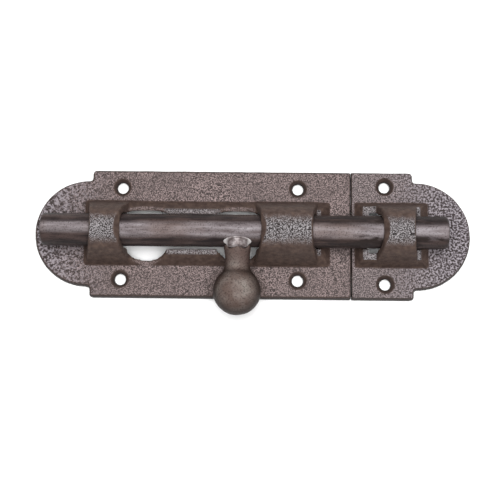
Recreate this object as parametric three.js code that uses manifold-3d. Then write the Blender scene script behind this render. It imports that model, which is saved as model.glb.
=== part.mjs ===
// Cast barrel bolt: a main plate and a keeper, a round sliding bolt with a ball knob, and the weld bead
// that holds the knob on. Millimetres. +X runs towards the keeper, +Y is up on the door when the bolt is
// level, and +Z points out of the door. z = 0 is the back face of both plates.
import * as THREE from 'three';
import { mergeVertices } from 'three/addons/utils/BufferGeometryUtils.js';
import Module from 'manifold-3d';

const wasm = await Module();
wasm.setup();

// ---------------------------------------------------------------- driving dimensions
const TOUCH_GAP = 0.3; // between pieces that touch on the real object
const OVERCUT = 2; // how far a cutting tool runs past the metal it cuts

// bolt
const PLATE_T = 4;
const ROD_R = 7.9;
const ROD_LIFT = 1.1; // air under the bolt, over the face of the plates
const ROD_Z = PLATE_T + ROD_LIFT + ROD_R;
const ROD_END_ROUND = 1.4;
const ROD_CLEARANCE = 0.5; // all round, in the bores and in the channel
const BORE_R = ROD_R + ROD_CLEARANCE;

// notches that the knob drops into, one pair at each end of the travel
const NOTCH_X = -50.5; // bolt shot, knob in the keeper-side notch
const TRAVEL = 45;
const FAR_NOTCH_X = NOTCH_X - TRAVEL;
const RIDGE_DROP = 2.5; // from the bolt's axis down to the top of the ridges
const RIDGE_Z = ROD_Z - RIDGE_DROP;
const NOTCH_HALF_WIDTH = 10.3; // at the top of the ridges
const LOWER_NOTCH_FLOOR_Z = PLATE_T + TOUCH_GAP;
const UPPER_NOTCH_DEPTH = 2.3;

// bridges over the bolt
const ARCH_WALL = 3.6;
const ARCH_R = BORE_R + ARCH_WALL;
const BRIDGE_DRAFT = 0.2; // slope of the end faces, run over rise
const KNOB_SIDE_CHAMFER = [2.6, 3.2]; // along the bolt, and down
const END_CHAMFER = [0.6, 0.8];
const BRIDGE_TO_NOTCH = 13.8; // from the middle of a notch to the flat top of the bridge next to it
const LEFT_BRIDGE_W = 10.8;
const RIGHT_BRIDGE_W = 21;
const LEFT_CROWN_X = FAR_NOTCH_X - BRIDGE_TO_NOTCH;
const LEFT_CROWN = [LEFT_CROWN_X - LEFT_BRIDGE_W, LEFT_CROWN_X];
const RIGHT_CROWN_X = NOTCH_X + BRIDGE_TO_NOTCH;
const RIGHT_CROWN = [RIGHT_CROWN_X, RIGHT_CROWN_X + RIGHT_BRIDGE_W];

// boss of the main plate, hollow from behind: base and top are its ends along the bolt, at the plate and at
// the ridges; outer and inner are the sides of the ridges, from the bolt's axis
const RIDGE_WALL = 2.4;
const MAIN_BOSS = {
  base: [LEFT_CROWN[0] - 6.2, RIGHT_CROWN[1] + 10.3],
  top: [LEFT_CROWN[0] - 2, RIGHT_CROWN[1] + 5.3],
  outer: BORE_R + RIDGE_WALL,
  inner: BORE_R,
};
const BOSS_SPREAD = 5.2; // how far the sides of the boss splay out, from the ridge down to the plate
const BOSS_HALF_BASE = MAIN_BOSS.outer + BOSS_SPREAD;
const CAVITY_HALF_BACK = BOSS_HALF_BASE - 1.6;
const CAVITY_HALF_FACE = BOSS_HALF_BASE - 2.2;
const BOSS_END_WALL = 3;

// plates
const PLATE_HALF_WIDTH = 32;
const EDGE_BAND = 0.7; // height of the straight part of the edge, next to the door
const EDGE_DRAFT = 0.9; // how far the edge leans in above it
const PLATE_GAP = 0.3; // between the main plate and the keeper
const MAIN_EDGE_X = MAIN_BOSS.base[1] + 10.4; // keeper-side edge of the main plate
const MAIN_ARC_X = MAIN_BOSS.base[0] + 1.4; // centre of the rounded end
const MAIN_ARC_R = 26.7;
const KEEPER_EDGE_X = MAIN_EDGE_X + PLATE_GAP;
const KEEPER_ARC_X = KEEPER_EDGE_X + 32;
const KEEPER_ARC_R = 27;
const SHOULDER_RUN = 1.2; // how far the straight edge stops short of the arc
const SHOULDER_ROUND = 2.2;

// boss and arch of the keeper, set out as on the main plate
const KEEPER_CROWN = [KEEPER_EDGE_X + 16.3, KEEPER_EDGE_X + 27.6];
const KEEPER_BOSS = {
  base: [KEEPER_EDGE_X + 1.6, KEEPER_CROWN[1] + 10],
  top: [KEEPER_EDGE_X + 5, KEEPER_CROWN[1] + 5.2],
  outer: BORE_R + 4.6,
  inner: BORE_R + 1.4,
};
const ROD_LEFT_X = MAIN_BOSS.base[0] - 19;
const ROD_RIGHT_X = KEEPER_BOSS.base[1] + 7.7;

// screw holes, countersunk from the front; the outer row sits in from the long edges
const HOLE_R = 2.75;
const SINK_R = 4.6;
const MAIN_HOLE_X = [LEFT_CROWN[1] + 0.9, RIGHT_CROWN[1] - 5.4];
const MAIN_HOLE_Y = PLATE_HALF_WIDTH - 9.1;
const KEEPER_HOLE_X = [KEEPER_EDGE_X + 16.5];
const KEEPER_HOLE_Y = PLATE_HALF_WIDTH - 7.7;

// knob
const BALL_R = 11.5;
const KNOB_REACH = 29.6; // bolt axis to ball centre
const NECK_R = 5.9;
const NECK_WAIST = ROD_R + 5.7; // bolt axis to the thinnest place of the neck
const BALL_JOIN_R = 7.6; // radius of the ball where the neck runs into it
const FLARE_R = 6.7;
const KNOB_TILT = Math.asin((PLATE_T + TOUCH_GAP + BALL_R - ROD_Z) / KNOB_REACH); // ball on the plate

// weld bead on the upper side of the knob's foot
const BEAD_UP = 5.2; // knob axis to bead centre, away from the door
const BEAD_PROUD = 0.55; // surface of the bolt to bead centre
const BEAD_OUT = Math.sqrt((ROD_R + BEAD_PROUD) ** 2 - BEAD_UP ** 2); // bolt axis to bead centre
const BEAD_HALF = [6.8, 3.3, 2];
const BEAD_LEAN = 0.35;
const BEAD_FEATHER = 0.35; // thickness it tapers to over the bolt
const BEAD_GAP_SCALE = 1.2; // a swollen ellipsoid stands off least between its axes

const WELD_TOLERANCE = 1e-4;

// ---------------------------------------------------------------- solids
function solidOf(geometry) {
  geometry.deleteAttribute('normal');
  geometry.deleteAttribute('uv');
  const welded = mergeVertices(geometry, WELD_TOLERANCE);
  return new wasm.Manifold(new wasm.Mesh({
    numProp: 3,
    vertProperties: welded.attributes.position.array,
    triVerts: welded.index.array,
  }));
}

function geometryOf(solid) {
  const mesh = solid.getMesh();
  const geometry = new THREE.BufferGeometry();
  geometry.setAttribute('position', new THREE.BufferAttribute(mesh.vertProperties, 3));
  geometry.setIndex(new THREE.BufferAttribute(mesh.triVerts, 1));
  geometry.computeVertexNormals();
  return geometry;
}

function shapeOf(points) {
  return new THREE.Shape(points.map(([u, v]) => new THREE.Vector2(u, v)));
}

function extruded(shape, from, to, xAxis, yAxis, curveSegments = 24) {
  const geometry = new THREE.ExtrudeGeometry(shape, {
    depth: to - from, bevelEnabled: false, curveSegments,
  });
  geometry.translate(0, 0, from);
  const zAxis = new THREE.Vector3().crossVectors(xAxis, yAxis);
  geometry.applyMatrix4(new THREE.Matrix4().makeBasis(xAxis, yAxis, zAxis));
  return solidOf(geometry);
}

const X = new THREE.Vector3(1, 0, 0);
const Y = new THREE.Vector3(0, 1, 0);
const Z = new THREE.Vector3(0, 0, 1);

// a (y, z) profile drawn out along the bolt
const alongBolt = (shape, x0, x1) => extruded(shape, x0, x1, Y, Z);
// an (x, z) profile drawn out across the plate, over the full width of the boss
const acrossBoss = (shape, half = BOSS_HALF_BASE + OVERCUT) => extruded(shape, -half, half, X, Z);

function cylinderAlongBolt(radius, x0, x1, segments = 64) {
  const geometry = new THREE.CylinderGeometry(radius, radius, x1 - x0, segments);
  geometry.rotateZ(Math.PI / 2);
  geometry.translate((x0 + x1) / 2, 0, ROD_Z);
  return solidOf(geometry);
}

// ---------------------------------------------------------------- castings
// direction is -1 for a plate whose rounded end points to -X, and +1 for one that points to +X; the other
// end runs on past edgeX, and plate() cuts it square
function plateOutline(edgeX, arcX, arcR, direction) {
  const shape = new THREE.Shape();
  const shoulderX = arcX - direction * SHOULDER_RUN;
  const r = SHOULDER_ROUND;
  const side = direction;
  const squareX = edgeX - direction * OVERCUT;
  shape.moveTo(squareX, -PLATE_HALF_WIDTH);
  shape.lineTo(shoulderX - side * r, -PLATE_HALF_WIDTH);
  shape.quadraticCurveTo(shoulderX, -PLATE_HALF_WIDTH, shoulderX, -PLATE_HALF_WIDTH + r);
  shape.lineTo(shoulderX, -arcR - r / 2);
  shape.quadraticCurveTo(shoulderX, -arcR, arcX, -arcR);
  shape.absarc(arcX, 0, arcR, -Math.PI / 2, Math.PI / 2, direction < 0);
  shape.quadraticCurveTo(shoulderX, arcR, shoulderX, arcR + r / 2);
  shape.lineTo(shoulderX, PLATE_HALF_WIDTH - r);
  shape.quadraticCurveTo(shoulderX, PLATE_HALF_WIDTH, shoulderX - side * r, PLATE_HALF_WIDTH);
  shape.lineTo(squareX, PLATE_HALF_WIDTH);
  shape.closePath();
  return shape;
}

function plate(edgeX, arcX, arcR, direction) {
  const geometry = new THREE.ExtrudeGeometry(plateOutline(edgeX, arcX, arcR, direction), {
    depth: EDGE_BAND, curveSegments: 20,
    bevelEnabled: true, bevelThickness: PLATE_T - EDGE_BAND, bevelSize: EDGE_DRAFT,
    bevelOffset: -EDGE_DRAFT, bevelSegments: 1,
  });
  const whole = solidOf(geometry);
  const size = 4 * Math.abs(arcX - edgeX);
  const behind = new THREE.BoxGeometry(size, size, 2 * PLATE_T);
  behind.translate(edgeX, 0, -PLATE_T);
  const past = new THREE.BoxGeometry(size, size, 4 * PLATE_T);
  past.translate(edgeX - direction * size / 2, 0, 0);
  return whole.subtract(solidOf(behind)).subtract(solidOf(past));
}

function countersink(x, y) {
  const sink = SINK_R - HOLE_R;
  const profile = [
    [0, -OVERCUT], [HOLE_R, -OVERCUT], [HOLE_R, PLATE_T - sink],
    [SINK_R + OVERCUT, PLATE_T + OVERCUT], [0, PLATE_T + OVERCUT],
  ];
  const geometry = new THREE.LatheGeometry(profile.map(([u, v]) => new THREE.Vector2(u, v)), 32);
  geometry.rotateX(Math.PI / 2);
  geometry.translate(x, y, 0);
  return solidOf(geometry);
}

function bossSides(outer) {
  return shapeOf([
    [-BOSS_HALF_BASE, 0], [BOSS_HALF_BASE, 0], [BOSS_HALF_BASE, PLATE_T],
    [outer, RIDGE_Z], [-outer, RIDGE_Z], [-BOSS_HALF_BASE, PLATE_T],
  ]);
}

function archSides() {
  // the slopes run from the foot of the boss to where they touch the crown
  const dy = BOSS_HALF_BASE;
  const dz = PLATE_T - ROD_Z;
  const touch = Math.atan2(dz, dy) + Math.acos(ARCH_R / Math.hypot(dy, dz));
  const shape = new THREE.Shape();
  shape.moveTo(-BOSS_HALF_BASE, 0);
  shape.lineTo(BOSS_HALF_BASE, 0);
  shape.lineTo(BOSS_HALF_BASE, PLATE_T);
  shape.absarc(0, ROD_Z, ARCH_R, touch, Math.PI - touch, false);
  shape.lineTo(-BOSS_HALF_BASE, PLATE_T);
  shape.closePath();
  return shape;
}

function cavitySides(inner) {
  return shapeOf([
    [-CAVITY_HALF_BACK, -OVERCUT], [CAVITY_HALF_BACK, -OVERCUT], [CAVITY_HALF_FACE, PLATE_T],
    [inner, RIDGE_Z], [BORE_R, ROD_Z], [-BORE_R, ROD_Z], [-inner, RIDGE_Z],
    [-CAVITY_HALF_FACE, PLATE_T],
  ]);
}

// the boss seen from the side, pulled in by `inset` at both ends
function bossLength(boss, inset, z0, z1) {
  const slope = (z, end) => {
    const share = (z - PLATE_T) / (RIDGE_Z - PLATE_T);
    return boss.base[end] + share * (boss.top[end] - boss.base[end]);
  };
  return shapeOf([
    [slope(z0, 0) + inset, z0], [slope(z0, 1) - inset, z0],
    [slope(z1, 1) - inset, z1], [slope(z1, 0) + inset, z1],
  ]);
}

// a bridge seen from the side: crown bounds its flat top; below each end of it come a chamfer, given as
// its run and its drop, and the leaning end face
function bridgeLength(crown, chamfers) {
  const top = ROD_Z + ARCH_R;
  const side = (end, direction) => {
    const [run, drop] = chamfers[end];
    const foot = run + BRIDGE_DRAFT * (top - drop);
    return [
      [crown[end] + direction * foot, 0],
      [crown[end] + direction * run, top - drop],
      [crown[end], top],
    ];
  };
  return shapeOf([...side(0, -1), ...side(1, 1).reverse()]);
}

function boss(extent) {
  const sides = alongBolt(bossSides(extent.outer), extent.base[0], extent.base[1]);
  return sides.intersect(acrossBoss(bossLength(extent, 0, 0, RIDGE_Z + OVERCUT)));
}

function bridge(crown, chamfers) {
  const reach = ROD_Z + ARCH_R;
  const sides = alongBolt(archSides(), crown[0] - reach, crown[1] + reach);
  return sides.intersect(acrossBoss(bridgeLength(crown, chamfers)));
}

function hollow(extent) {
  const reach = OVERCUT + ROD_R;
  const channel = alongBolt(cavitySides(extent.inner), extent.base[0], extent.base[1]);
  const inside = acrossBoss(bossLength(extent, BOSS_END_WALL, -OVERCUT, ROD_Z + OVERCUT));
  const bore = cylinderAlongBolt(BORE_R, extent.base[0] - reach, extent.base[1] + reach);
  return channel.intersect(inside).add(bore);
}

// a round-bottomed scoop through the ridge on one side of the bolt; side is +1 above it and -1 below
function notch(x, side, floorZ) {
  const depth = RIDGE_Z - floorZ;
  const radius = (NOTCH_HALF_WIDTH ** 2 + depth ** 2) / (2 * depth);
  const halfAngle = Math.asin(NOTCH_HALF_WIDTH / radius);
  const opening = depth < radius ? halfAngle : Math.PI - halfAngle;
  const shape = new THREE.Shape();
  shape.moveTo(x + NOTCH_HALF_WIDTH, RIDGE_Z + OVERCUT);
  shape.lineTo(x - NOTCH_HALF_WIDTH, RIDGE_Z + OVERCUT);
  shape.absarc(x, floorZ + radius, radius, -Math.PI / 2 - opening, -Math.PI / 2 + opening, false);
  shape.closePath();
  const far = BOSS_HALF_BASE + OVERCUT;
  return side > 0 ? extruded(shape, -far, 0, X, Z) : extruded(shape, 0, far, X, Z);
}

function withHoles(solid, xs, y) {
  let drilled = solid;
  for (const x of xs) {
    for (const side of [-1, 1]) drilled = drilled.subtract(countersink(x, side * y));
  }
  return drilled;
}

function mainPlate() {
  let ridges = boss(MAIN_BOSS);
  for (const x of [NOTCH_X, FAR_NOTCH_X]) {
    ridges = ridges.subtract(notch(x, 1, RIDGE_Z - UPPER_NOTCH_DEPTH));
    ridges = ridges.subtract(notch(x, -1, LOWER_NOTCH_FLOOR_Z));
  }
  let solid = plate(MAIN_EDGE_X, MAIN_ARC_X, MAIN_ARC_R, -1).add(ridges);
  solid = solid.add(bridge(LEFT_CROWN, [END_CHAMFER, KNOB_SIDE_CHAMFER]));
  solid = solid.add(bridge(RIGHT_CROWN, [KNOB_SIDE_CHAMFER, END_CHAMFER]));
  return withHoles(solid.subtract(hollow(MAIN_BOSS)), MAIN_HOLE_X, MAIN_HOLE_Y);
}

function keeper() {
  let solid = plate(KEEPER_EDGE_X, KEEPER_ARC_X, KEEPER_ARC_R, 1);
  solid = solid.add(boss(KEEPER_BOSS)).add(bridge(KEEPER_CROWN, [KNOB_SIDE_CHAMFER, END_CHAMFER]));
  solid = solid.subtract(hollow(KEEPER_BOSS));
  return withHoles(solid, KEEPER_HOLE_X, KEEPER_HOLE_Y);
}

// ---------------------------------------------------------------- moving pieces
function boltRod() {
  const length = ROD_RIGHT_X - ROD_LEFT_X;
  const r = ROD_END_ROUND;
  const path = new THREE.Path();
  path.moveTo(0, 0);
  path.lineTo(ROD_R - r, 0);
  path.absarc(ROD_R - r, r, r, -Math.PI / 2, 0, false);
  path.absarc(ROD_R - r, length - r, r, 0, Math.PI / 2, false);
  path.lineTo(0, length);
  const geometry = new THREE.LatheGeometry(path.getPoints(3), 56);
  geometry.rotateZ(-Math.PI / 2);
  geometry.translate(ROD_LEFT_X, 0, ROD_Z);
  return solidOf(geometry);
}

// the knob and its bead are made with the knob's axis along +Y from the bolt axis, then turned to -Y
function placeKnob(geometry) {
  geometry.rotateX(Math.PI - KNOB_TILT);
  geometry.translate(NOTCH_X, 0, ROD_Z);
  return solidOf(geometry);
}

function knobTurned() {
  const ballStart = KNOB_REACH - Math.sqrt(BALL_R ** 2 - BALL_JOIN_R ** 2);
  const path = new THREE.Path();
  const foot = ROD_R * 0.6;
  path.moveTo(0, foot);
  path.lineTo(FLARE_R, foot);
  path.lineTo(FLARE_R, ROD_R);
  path.bezierCurveTo(FLARE_R - 0.2, ROD_R + 2, NECK_R, NECK_WAIST - 2.5, NECK_R, NECK_WAIST);
  path.quadraticCurveTo(NECK_R, ballStart - 1.4, BALL_JOIN_R, ballStart);
  const startAngle = Math.atan2(ballStart - KNOB_REACH, BALL_JOIN_R);
  path.absarc(0, KNOB_REACH, BALL_R, startAngle, Math.PI / 2, false);
  return placeKnob(new THREE.LatheGeometry(path.getPoints(8), 40));
}

function bead(grow) {
  const geometry = new THREE.SphereGeometry(1, 28, 16);
  geometry.scale(...BEAD_HALF.map((half) => half + grow));
  geometry.rotateX(BEAD_LEAN);
  geometry.translate(0, BEAD_OUT, -BEAD_UP);
  return placeKnob(geometry);
}

// the room around the bolt that the knob and the bead stay out of, or are feathered down to
function aroundRod(gap) {
  return cylinderAlongBolt(ROD_R + gap, NOTCH_X - 2 * BALL_R, NOTCH_X + 2 * BALL_R);
}

// the bead stands no prouder than the flare of the neck, so that it passes the ridges wherever the neck does
function trimmedBead() {
  const neck = new THREE.CylinderGeometry(FLARE_R, FLARE_R, KNOB_REACH, 40);
  neck.translate(0, KNOB_REACH / 2, 0);
  const allowed = placeKnob(neck).add(aroundRod(TOUCH_GAP + BEAD_FEATHER));
  return bead(0).intersect(allowed).subtract(aroundRod(TOUCH_GAP));
}

function knob() {
  return knobTurned().subtract(aroundRod(TOUCH_GAP)).subtract(bead(TOUCH_GAP * BEAD_GAP_SCALE));
}

// ---------------------------------------------------------------- nodes
const group = new THREE.Group();
group.name = 'barrel_bolt';

function addNode(name, solid, color, roughness, metalness) {
  const material = new THREE.MeshStandardMaterial({ color, roughness, metalness });
  const mesh = new THREE.Mesh(geometryOf(solid), material);
  mesh.name = name;
  group.add(mesh);
}

addNode('main_plate', mainPlate(), 0x55484a, 0.72, 0.35);
addNode('keeper', keeper(), 0x50464a, 0.72, 0.35);
addNode('bolt_rod', boltRod(), 0x6b5f5d, 0.45, 0.6);
addNode('knob', knob(), 0x5c5250, 0.55, 0.45);
addNode('knob_weld', trimmedBead(), 0xa9a5a2, 0.35, 0.85);

export default group;
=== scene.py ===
"""A cast barrel bolt lying on a pale floor.

Worn brown lacquer over sand-cast iron, with a round bolt and a ball knob welded to it.
"""
import math

import bpy
import numpy as np
from mathutils import Matrix, Vector, noise


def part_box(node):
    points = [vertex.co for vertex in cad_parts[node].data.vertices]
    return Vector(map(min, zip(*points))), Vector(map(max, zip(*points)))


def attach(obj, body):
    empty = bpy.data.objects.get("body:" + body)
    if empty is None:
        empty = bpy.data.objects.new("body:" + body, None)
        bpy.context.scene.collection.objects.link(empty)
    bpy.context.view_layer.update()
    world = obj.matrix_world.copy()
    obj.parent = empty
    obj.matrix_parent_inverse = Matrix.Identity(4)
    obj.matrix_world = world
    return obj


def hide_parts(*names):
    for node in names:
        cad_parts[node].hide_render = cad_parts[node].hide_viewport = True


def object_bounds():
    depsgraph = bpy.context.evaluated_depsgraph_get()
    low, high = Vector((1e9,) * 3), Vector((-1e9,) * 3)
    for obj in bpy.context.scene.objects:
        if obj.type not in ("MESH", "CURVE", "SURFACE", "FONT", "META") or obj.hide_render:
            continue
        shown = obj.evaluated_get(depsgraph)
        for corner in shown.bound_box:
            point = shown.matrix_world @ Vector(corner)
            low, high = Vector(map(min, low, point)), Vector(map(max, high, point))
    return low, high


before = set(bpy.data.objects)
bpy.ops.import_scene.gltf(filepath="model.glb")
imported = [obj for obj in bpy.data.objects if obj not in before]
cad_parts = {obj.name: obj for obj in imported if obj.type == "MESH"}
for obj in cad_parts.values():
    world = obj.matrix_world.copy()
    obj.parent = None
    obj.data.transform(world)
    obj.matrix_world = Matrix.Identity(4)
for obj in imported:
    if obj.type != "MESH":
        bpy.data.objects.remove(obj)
cad_low, cad_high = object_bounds()
MM = 0.001

# ---------------------------------------------------------------- places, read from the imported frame
rod_low, rod_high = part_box("bolt_rod")
knob_low, knob_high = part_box("knob")
main_low, main_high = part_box("main_plate")
keeper_low, keeper_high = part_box("keeper")
bead_low, bead_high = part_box("knob_weld")

ROD_Z = (rod_high.z + rod_low.z) / 2
BALL_R = (knob_high.x - knob_low.x) / 2
BALL = Vector(((knob_high.x + knob_low.x) / 2, knob_low.y + BALL_R, knob_high.z - BALL_R))
CROWN_Z = main_high.z
PLATE_T = 4 * MM  # the boxes show neither this nor the ridges' height
RIDGE_DROP = 2.5 * MM  # the tops of the guard ridges lie this far below the bolt's axis
RIDGE_Z = ROD_Z - RIDGE_DROP

# size of the grid that each piece's skin is drawn on
MAIN_SKIN = 0.58 * MM
KEEPER_SKIN = 0.5 * MM
BAR_SKIN = 0.7 * MM
KNOB_SKIN = 0.45 * MM
WELD_SKIN = 0.22 * MM


# ---------------------------------------------------------------- mesh helpers
def smoothstep(low, high, x):
    t = np.clip((x - low) / (high - low), 0, 1)
    return t * t * (3 - 2 * t)


def vertex_arrays(mesh):
    points = np.empty(len(mesh.vertices) * 3)
    mesh.vertices.foreach_get("co", points)
    normals = np.empty(len(mesh.vertices) * 3)
    mesh.vertex_normals.foreach_get("vector", normals)
    return points.reshape(-1, 3), normals.reshape(-1, 3)


def lumps(points, size, seed):
    """Smooth noise, about -1 to 1, with features of the given size in metres."""
    offset = Vector((seed * 17.3, seed * 5.1, seed * 9.7))
    return np.array([noise.noise(Vector(p) / size + offset) for p in points])


def displace(mesh, amounts):
    points, normals = vertex_arrays(mesh)
    mesh.vertices.foreach_set("co", (points + normals * amounts[:, None]).ravel())
    mesh.update()


def write_attribute(mesh, name, values):
    attribute = mesh.attributes.new(name, "FLOAT", "POINT")
    attribute.data.foreach_set("value", values.astype(np.float32))


def skinned_copy(node, name, voxel, relax):
    """The node's shape with one even skin and softened edges, as metal that was poured or welded has."""
    piece = bpy.data.objects.new(name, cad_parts[node].data.copy())
    bpy.context.scene.collection.objects.link(piece)
    piece.data.materials.clear()
    skin = piece.modifiers.new("skin", "REMESH")
    skin.mode = "VOXEL"
    skin.voxel_size = voxel
    soften = piece.modifiers.new("soften", "SMOOTH")
    soften.factor = 0.5
    soften.iterations = relax
    depsgraph = bpy.context.evaluated_depsgraph_get()
    mesh = bpy.data.meshes.new_from_object(piece.evaluated_get(depsgraph), depsgraph=depsgraph)
    piece.modifiers.clear()
    piece.data = mesh
    mesh.shade_smooth()
    return piece


def place(piece, node, body, material):
    piece.data.materials.append(material)
    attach(piece, body)
    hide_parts(node)


# ---------------------------------------------------------------- node helpers
class Nodes:
    """Short names for the few node kinds that the materials use."""

    def __init__(self, name):
        self.material = bpy.data.materials.new(name)
        self.material.use_nodes = True
        self.tree = self.material.node_tree
        self.shader = self.tree.nodes["Principled BSDF"]
        self.coords = self.tree.nodes.new("ShaderNodeTexCoord").outputs["Object"]

    def link(self, source, socket):
        self.tree.links.new(source, socket)

    def noise(self, size, detail=2.0, roughness=0.5, stretch=None, seed=0.0):
        node = self.tree.nodes.new("ShaderNodeTexNoise")
        node.inputs["Scale"].default_value = 1 / size
        node.inputs["Detail"].default_value = detail
        node.inputs["Roughness"].default_value = roughness
        mapping = self.tree.nodes.new("ShaderNodeMapping")
        mapping.inputs["Location"].default_value = (seed, seed * 0.7, seed * 0.3)
        if stretch:
            mapping.inputs["Scale"].default_value = stretch
        self.link(self.coords, mapping.inputs["Vector"])
        self.link(mapping.outputs["Vector"], node.inputs["Vector"])
        return node.outputs["Fac"]

    def ramp(self, source, stops):
        """stops: (position, colour or grey value)."""
        node = self.tree.nodes.new("ShaderNodeValToRGB")
        elements = node.color_ramp.elements
        while len(elements) < len(stops):
            elements.new(0.5)
        for element, (position, value) in zip(elements, stops):
            element.position = position
            grey = isinstance(value, (int, float))
            element.color = (value, value, value, 1) if grey else (*value, 1)
        self.link(source, node.inputs["Fac"])
        return node.outputs["Color"]

    def mix(self, share, first, second, blend="MIX"):
        node = self.tree.nodes.new("ShaderNodeMix")
        node.data_type = "RGBA"
        node.blend_type = blend
        for value, socket in ((share, 0), (first, 6), (second, 7)):
            if isinstance(value, (int, float)):
                node.inputs[socket].default_value = value
            elif isinstance(value, tuple):
                node.inputs[socket].default_value = (*value, 1)
            else:
                self.link(value, node.inputs[socket])
        return node.outputs[2]

    def math(self, operation, first, second):
        node = self.tree.nodes.new("ShaderNodeMath")
        node.operation = operation
        node.use_clamp = True
        for value, socket in ((first, 0), (second, 1)):
            if isinstance(value, (int, float)):
                node.inputs[socket].default_value = value
            else:
                self.link(value, node.inputs[socket])
        return node.outputs[0]

    def attribute(self, name):
        node = self.tree.nodes.new("ShaderNodeAttribute")
        node.attribute_name = name
        return node.outputs["Fac"]

    def bump(self, height, strength, distance, below=None):
        node = self.tree.nodes.new("ShaderNodeBump")
        node.inputs["Strength"].default_value = strength
        node.inputs["Distance"].default_value = distance
        self.link(height, node.inputs["Height"])
        if below is not None:
            self.link(below, node.inputs["Normal"])
        return node.outputs["Normal"]

    def finish(self, colour, roughness, normal, metallic=0.0, specular=0.5):
        self.link(colour, self.shader.inputs["Base Color"])
        self.link(roughness, self.shader.inputs["Roughness"])
        self.link(normal, self.shader.inputs["Normal"])
        if isinstance(metallic, (int, float)):
            self.shader.inputs["Metallic"].default_value = metallic
        else:
            self.link(metallic, self.shader.inputs["Metallic"])
        self.shader.inputs["Specular IOR Level"].default_value = specular
        return self.material


# ---------------------------------------------------------------- materials
# near-black: dark flecks in the grain and marks on the bar, and painted shade on the plate sides and where
# the weld bead turns down
SOOT_AND_SHADE = (0.020, 0.014, 0.013)
BROWN = (0.060, 0.038, 0.031)


def casting_material(name, grain, contrast, tint, seed):
    """Sand-cast iron under thin brown lacquer, laid on by the layers of paint_casting, some of which are
    painted shade.
    """
    n = Nodes(name)
    worn, steep, cool, rim = (n.attribute(layer) for layer in ("worn", "steep", "cool", "rim"))
    speckle = n.noise(grain, detail=2.0, roughness=0.6, seed=seed)
    coarse = n.noise(grain * 1.7, detail=2.0, seed=seed + 2)
    cloud = n.noise(16 * MM, detail=3.0, seed=seed + 4)
    dark = tuple(c * 0.22 for c in tint)
    light = tuple(c * 2.1 for c in tint)
    face = n.ramp(speckle, [(0.50 - contrast, dark), (0.50, tint), (0.50 + contrast, light)])
    face = n.mix(n.ramp(coarse, [(0.38, 0.80), (0.46, 0.0)]), face, SOOT_AND_SHADE)
    face = n.mix(n.ramp(cloud, [(0.38, 0.35), (0.62, 0.0)]), face, tuple(c * 0.6 for c in tint))
    cold = n.ramp(coarse, [
        (0.42, SOOT_AND_SHADE), (0.50, (0.076, 0.062, 0.070)), (0.58, (0.275, 0.248, 0.270)),
    ])
    face = n.mix(cool, face, cold)
    streaks = n.noise(2.4 * MM, detail=4.0, seed=seed + 6)
    wall = n.ramp(streaks, [(0.30, (0.040, 0.024, 0.019)), (0.50, BROWN), (0.70, (0.085, 0.055, 0.043))])
    # slopes, plate sides and the plate around the ball take the dark wall brown, partly as painted shade
    colour = n.mix(steep, face, wall)
    rubbed = n.ramp(n.noise(grain * 0.9, detail=2.0, roughness=0.6, seed=seed + 8), [
        (0.44, (0.012, 0.009, 0.009)), (0.50, (0.054, 0.045, 0.045)), (0.56, (0.290, 0.272, 0.280)),
    ])
    colour = n.mix(worn, colour, rubbed)
    # painted shade: near-black along the outline, on the plate sides
    colour = n.mix(rim, colour, SOOT_AND_SHADE)
    roughness = n.ramp(speckle, [(0.35, 0.78), (0.65, 0.60)])
    grainy = n.bump(speckle, 0.45, 0.25 * MM)
    return n.finish(colour, roughness, grainy, metallic=n.math("MULTIPLY", worn, 0.3), specular=0.25)


def bar_material():
    """Round bar: streaked lacquer, lighter along its top because both flanks carry painted shade, black
    marks near the keeper.
    """
    n = Nodes("bar_lacquer")
    flank, marks = n.attribute("flank"), n.attribute("marks")
    streak = n.noise(2.6 * MM, detail=4.0, roughness=0.6, stretch=(0.16, 1, 1), seed=1)
    fine = n.noise(0.7 * MM, detail=3.0, roughness=0.65, seed=3)
    tone = n.noise(26 * MM, detail=2.0, stretch=(1, 0.3, 0.3), seed=7)
    colour = n.ramp(streak, [
        (0.32, (0.095, 0.074, 0.076)), (0.50, (0.180, 0.155, 0.162)), (0.68, (0.285, 0.260, 0.272)),
    ])
    colour = n.mix(n.ramp(tone, [(0.42, 0.5), (0.58, 0.0)]), colour, (0.135, 0.094, 0.082))
    shaded = n.ramp(streak, [(0.40, (0.008, 0.005, 0.005)), (0.62, (0.040, 0.023, 0.019))])
    # painted shade down both flanks of the bar, with the end faces darkened along with them
    colour = n.mix(flank, colour, shaded)
    blots = n.noise(3.6 * MM, detail=3.0, stretch=(0.35, 1, 1), seed=5)
    colour = n.mix(n.math("MULTIPLY", marks, n.ramp(blots, [(0.46, 0.0), (0.54, 1.0)])), colour, SOOT_AND_SHADE)
    colour = n.mix(n.ramp(fine, [(0.36, 0.6), (0.46, 0.0)]), colour, SOOT_AND_SHADE)
    roughness = n.ramp(fine, [(0.35, 0.60), (0.65, 0.40)])
    rough = n.bump(fine, 0.25, 0.12 * MM)
    return n.finish(colour, roughness, n.bump(streak, 0.25, 0.2 * MM, below=rough), specular=0.12)


def knob_material():
    n = Nodes("knob_lacquer")
    fine = n.noise(0.8 * MM, detail=3.0, roughness=0.6, seed=11)
    patch = n.noise(7.0 * MM, detail=3.0, seed=13)
    colour = n.ramp(patch, [
        (0.34, (0.100, 0.070, 0.060)), (0.52, (0.145, 0.114, 0.102)), (0.70, (0.205, 0.178, 0.160)),
    ])
    # painted shade: the knob darkens where its faces turn away from above
    colour = n.mix(n.attribute("under"), colour, (0.022, 0.013, 0.010))
    colour = n.mix(n.attribute("neck"), colour, (0.072, 0.047, 0.041))
    colour = n.mix(n.ramp(fine, [(0.38, 0.55), (0.48, 0.0)]), colour, SOOT_AND_SHADE)
    roughness = n.ramp(fine, [(0.35, 0.62), (0.65, 0.45)])
    return n.finish(colour, roughness, n.bump(fine, 0.4, 0.18 * MM), specular=0.1)


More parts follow.
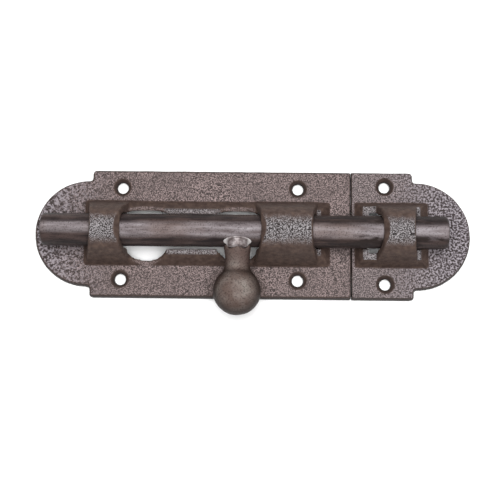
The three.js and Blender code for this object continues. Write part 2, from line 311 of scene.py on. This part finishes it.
def weld_material():
    n = Nodes("weld_bead")
    ripple = n.noise(1.5 * MM, detail=2.0, stretch=(1.0, 0.6, 1.0), seed=21)
    ends = n.attribute("ends")
    colour = n.ramp(n.noise(2.2 * MM, detail=3.0, seed=23), [
        (0.36, (0.075, 0.056, 0.054)), (0.50, (0.170, 0.142, 0.142)), (0.64, (0.280, 0.250, 0.250)),
    ])
    # painted highlight: pale grey at both ends of the bead
    colour = n.mix(ends, colour, (0.480, 0.455, 0.450))
    # painted shade where the bead turns sideways and down
    colour = n.mix(n.attribute("foot"), colour, SOOT_AND_SHADE)
    roughness = n.ramp(ripple, [(0.35, 0.55), (0.65, 0.35)])
    return n.finish(colour, roughness, n.bump(ripple, 0.5, 0.35 * MM), metallic=0.3, specular=0.5)


# ---------------------------------------------------------------- pieces
def paint_casting(points, normals, cool_end):
    """Where the lacquer is worn, left thick on slopes (whose darker brown is partly painted shade), cool in
    tone, or darkened by painted shade along the outline and around the ball of the knob.
    """
    up, height = normals[:, 2], points[:, 2]
    on_ridge = smoothstep(RIDGE_Z - 0.9 * MM, RIDGE_Z - 0.3 * MM, height) * smoothstep(0.55, 0.85, up)
    # the bare metal of a crown ends raggedly, and sooner on its upper (+Y) side, which leaves that side
    # darker as painted shade
    patchy = 0.09 * lumps(points, 2.2 * MM, 61)
    tilt = up - 0.24 * np.maximum(normals[:, 1], 0) + patchy
    on_crown = smoothstep(CROWN_Z - 4.5 * MM, CROWN_Z - 0.6 * MM, height) * smoothstep(0.66, 1.0, tilt)
    low_ridge = on_ridge * (height < RIDGE_Z + 1.0 * MM)
    worn = np.maximum(0.75 * low_ridge, on_crown)
    above_face = smoothstep(PLATE_T + 0.1 * MM, PLATE_T + 0.6 * MM, height)
    scoop = smoothstep(0.75, 0.95, up) * (height < RIDGE_Z - 0.8 * MM)
    # slopes: lacquer left unrubbed, its darker brown partly painted shade
    slope = above_face * (1 - 0.85 * on_crown) * (1 - low_ridge) * (1 - 0.6 * scoop)
    # painted shade on the drafted plate sides below the face
    edge = (1 - smoothstep(0.80, 0.97, up)) * (1 - above_face)
    # painted shadow on the plate around the ball of the knob, which lies close above it
    off_ball = np.hypot(points[:, 0] - BALL.x, points[:, 1] - BALL.y) - BALL_R
    ball_shadow = 0.45 * (1 - smoothstep(-1 * MM, 6 * MM, off_ball)) * (1 - above_face)
    steep = np.clip(slope + edge + ball_shadow, 0, 1)
    start, end = cool_end
    cool = smoothstep(start, end, points[:, 0]) if end > start else 1 - smoothstep(end, start, points[:, 0])
    # painted shade: the plate sides below the face go near-black along the outline
    rim = 0.85 * (1 - smoothstep(0.55, 0.985, up)) * (1 - above_face)
    return {"worn": worn, "steep": steep, "cool": cool * (1 - steep), "rim": rim}


def casting(node, name, voxel, material, seed, cool_end):
    piece = skinned_copy(node, name, voxel, relax=2)
    points, normals = vertex_arrays(piece.data)
    for layer, values in paint_casting(points, normals, cool_end).items():
        write_attribute(piece.data, layer, values)
    grain = 0.05 * MM * lumps(points, 1.3 * MM, seed)
    wander = 0.14 * MM * lumps(points, 9.0 * MM, seed + 1)
    off_door = smoothstep(0.4 * MM, 1.2 * MM, points[:, 2])
    displace(piece.data, (grain + wander) * off_door)
    place(piece, node, "housing", material)


def rod_piece():
    piece = skinned_copy("bolt_rod", "round_bar", BAR_SKIN, relax=4)
    points, normals = vertex_arrays(piece.data)
    turn = np.arctan2(points[:, 1], points[:, 2] - ROD_Z)  # 0 at the front of the bar, + on its upper side
    # painted shade: darker by angle away from the front of the bar, up and down its flanks
    upper, lower = smoothstep(0.10, 0.55, turn), smoothstep(0.25, 0.75, -turn)
    ends = smoothstep(0.5, 0.9, np.abs(normals[:, 0]))
    # the painted shade on the lower flank reaches further round towards the end away from the keeper
    far_end = 1 - smoothstep(rod_low.x + 20 * MM, rod_low.x + 45 * MM, points[:, 0])
    lower = np.maximum(lower, far_end * smoothstep(0.0, 0.45, -turn))
    write_attribute(piece.data, "flank", np.maximum(0.92 * np.maximum(upper, lower), ends))
    near_keeper = smoothstep(keeper_low.x - 6 * MM, keeper_low.x + 4 * MM, points[:, 0])
    write_attribute(piece.data, "marks", near_keeper * smoothstep(0.25, 0.5, np.abs(turn)))
    # a bar that isn't quite true, and a touch thinner than its node
    flat = 0.06 * MM * lumps(points * np.array([0.4, 1, 1]), 7.0 * MM, 31)
    displace(piece.data, flat - 0.02 * MM)
    place(piece, "bolt_rod", "bolt", bar_material())


def knob_piece():
    piece = skinned_copy("knob", "ball_knob", KNOB_SKIN, relax=3)
    points, normals = vertex_arrays(piece.data)
    # painted shade on the faces of the knob that turn away from above
    write_attribute(piece.data, "under", 0.95 * (1 - smoothstep(0.35, 0.99, normals[:, 2])))
    from_ball = np.linalg.norm(points - np.array(BALL), axis=1)
    write_attribute(piece.data, "neck", 0.7 * smoothstep(BALL_R, BALL_R + 4 * MM, from_ball))
    displace(piece.data, 0.12 * MM * lumps(points, 5.0 * MM, 41) + 0.03 * MM * lumps(points, 1.4 * MM, 42))
    place(piece, "knob", "knob", knob_material())


def weld_piece():
    piece = skinned_copy("knob_weld", "weld_bead", WELD_SKIN, relax=2)
    points, normals = vertex_arrays(piece.data)
    along = np.abs(points[:, 0] - (bead_low.x + bead_high.x) / 2)
    half = (bead_high.x - bead_low.x) / 2
    up = normals[:, 2]
    # painted highlight on the upward-facing ends of the bead
    write_attribute(piece.data, "ends", smoothstep(0.60, 0.85, along / half) * smoothstep(0.2, 0.6, up))
    # painted shade on the faces of the bead that turn sideways and down
    write_attribute(piece.data, "foot", 1 - smoothstep(0.0, 0.45, up))
    displace(piece.data, 0.12 * MM * lumps(points, 2.0 * MM, 51))
    place(piece, "knob_weld", "knob", weld_material())


MAIN_TINT = (0.128, 0.096, 0.093)
KEEPER_TINT = (0.134, 0.107, 0.107)
GRAIN = 0.56 * MM
casting(
    "main_plate", "main_casting", MAIN_SKIN,
    casting_material("main_lacquer", GRAIN, 0.090, MAIN_TINT, 0.0), 3,
    cool_end=(main_low.x + 45 * MM, main_low.x - 10 * MM),
)
casting(
    "keeper", "keeper_casting", KEEPER_SKIN,
    casting_material("keeper_lacquer", GRAIN, 0.08, KEEPER_TINT, 0.5), 7,
    cool_end=(keeper_low.x + 8 * MM, keeper_high.x - 6 * MM),
)
rod_piece()
knob_piece()
weld_piece()


# ---------------------------------------------------------------- floor, light and camera
FLOOR_HALF = 1.5
FLOOR_GAP = 0.2 * MM  # the floor lies this far below the backs of the plates


def floor():
    half = FLOOR_HALF
    z = cad_low.z - FLOOR_GAP
    corners = [(-half, -half, z), (half, -half, z), (half, half, z), (-half, half, z)]
    mesh = bpy.data.meshes.new("floor")
    mesh.from_pydata(corners, [], [(0, 1, 2, 3)])
    plane = bpy.data.objects.new("floor", mesh)
    bpy.context.scene.collection.objects.link(plane)
    material = bpy.data.materials.new("paper")
    material.use_nodes = True
    shader = material.node_tree.nodes["Principled BSDF"]
    shader.inputs["Base Color"].default_value = (0.93, 0.93, 0.93, 1)
    shader.inputs["Roughness"].default_value = 0.9
    mesh.materials.append(material)


def softbox(name, place_at, size, power):
    light = bpy.data.lights.new(name, "AREA")
    light.shape = "DISK"
    light.size = size
    light.energy = power
    lamp = bpy.data.objects.new(name, light)
    lamp.location = place_at
    aim = (Vector((cad_low.x + cad_high.x, 0, 0)) / 2 - Vector(place_at)).to_track_quat("-Z", "Y")
    lamp.rotation_mode = "QUATERNION"
    lamp.rotation_quaternion = aim
    bpy.context.scene.collection.objects.link(lamp)


def surroundings(strength):
    world = bpy.data.worlds.new("room")
    world.use_nodes = True
    world.node_tree.nodes["Background"].inputs["Color"].default_value = (1, 1, 1, 1)
    world.node_tree.nodes["Background"].inputs["Strength"].default_value = strength
    bpy.context.scene.world = world


VIEW_DISTANCE = 450 * MM
VIEW_TURN = (math.radians(8.3), math.radians(0.5), math.radians(0.65))  # about X, Y and Z
AIM_OFFSET = Vector((-1.0, -2.9, 0)) * MM  # from the middle of the object's box, on the door plane
LENS = 65.27


def camera():
    data = bpy.data.cameras.new("camera")
    data.lens = LENS
    data.sensor_width = 36
    data.clip_start = 0.01
    data.clip_end = 20
    eye = bpy.data.objects.new("camera", data)
    about_x, about_y, about_z = (Matrix.Rotation(angle, 3, axis) for angle, axis in zip(VIEW_TURN, "XYZ"))
    turn = about_z @ about_y @ about_x
    middle = (cad_low + cad_high) / 2
    aim = Vector((middle.x, middle.y, 0)) + AIM_OFFSET
    eye.location = aim + turn @ Vector((0, 0, VIEW_DISTANCE))
    eye.rotation_euler = turn.to_euler()
    bpy.context.scene.collection.objects.link(eye)
    bpy.context.scene.camera = eye


floor()
softbox("key", (-0.06, 0.08, 0.85), size=0.9, power=11.5)
softbox("fill", (0.25, -0.30, 0.70), size=0.5, power=2)
surroundings(strength=0.22)
camera()
bpy.context.scene.view_settings.view_transform = "Standard"
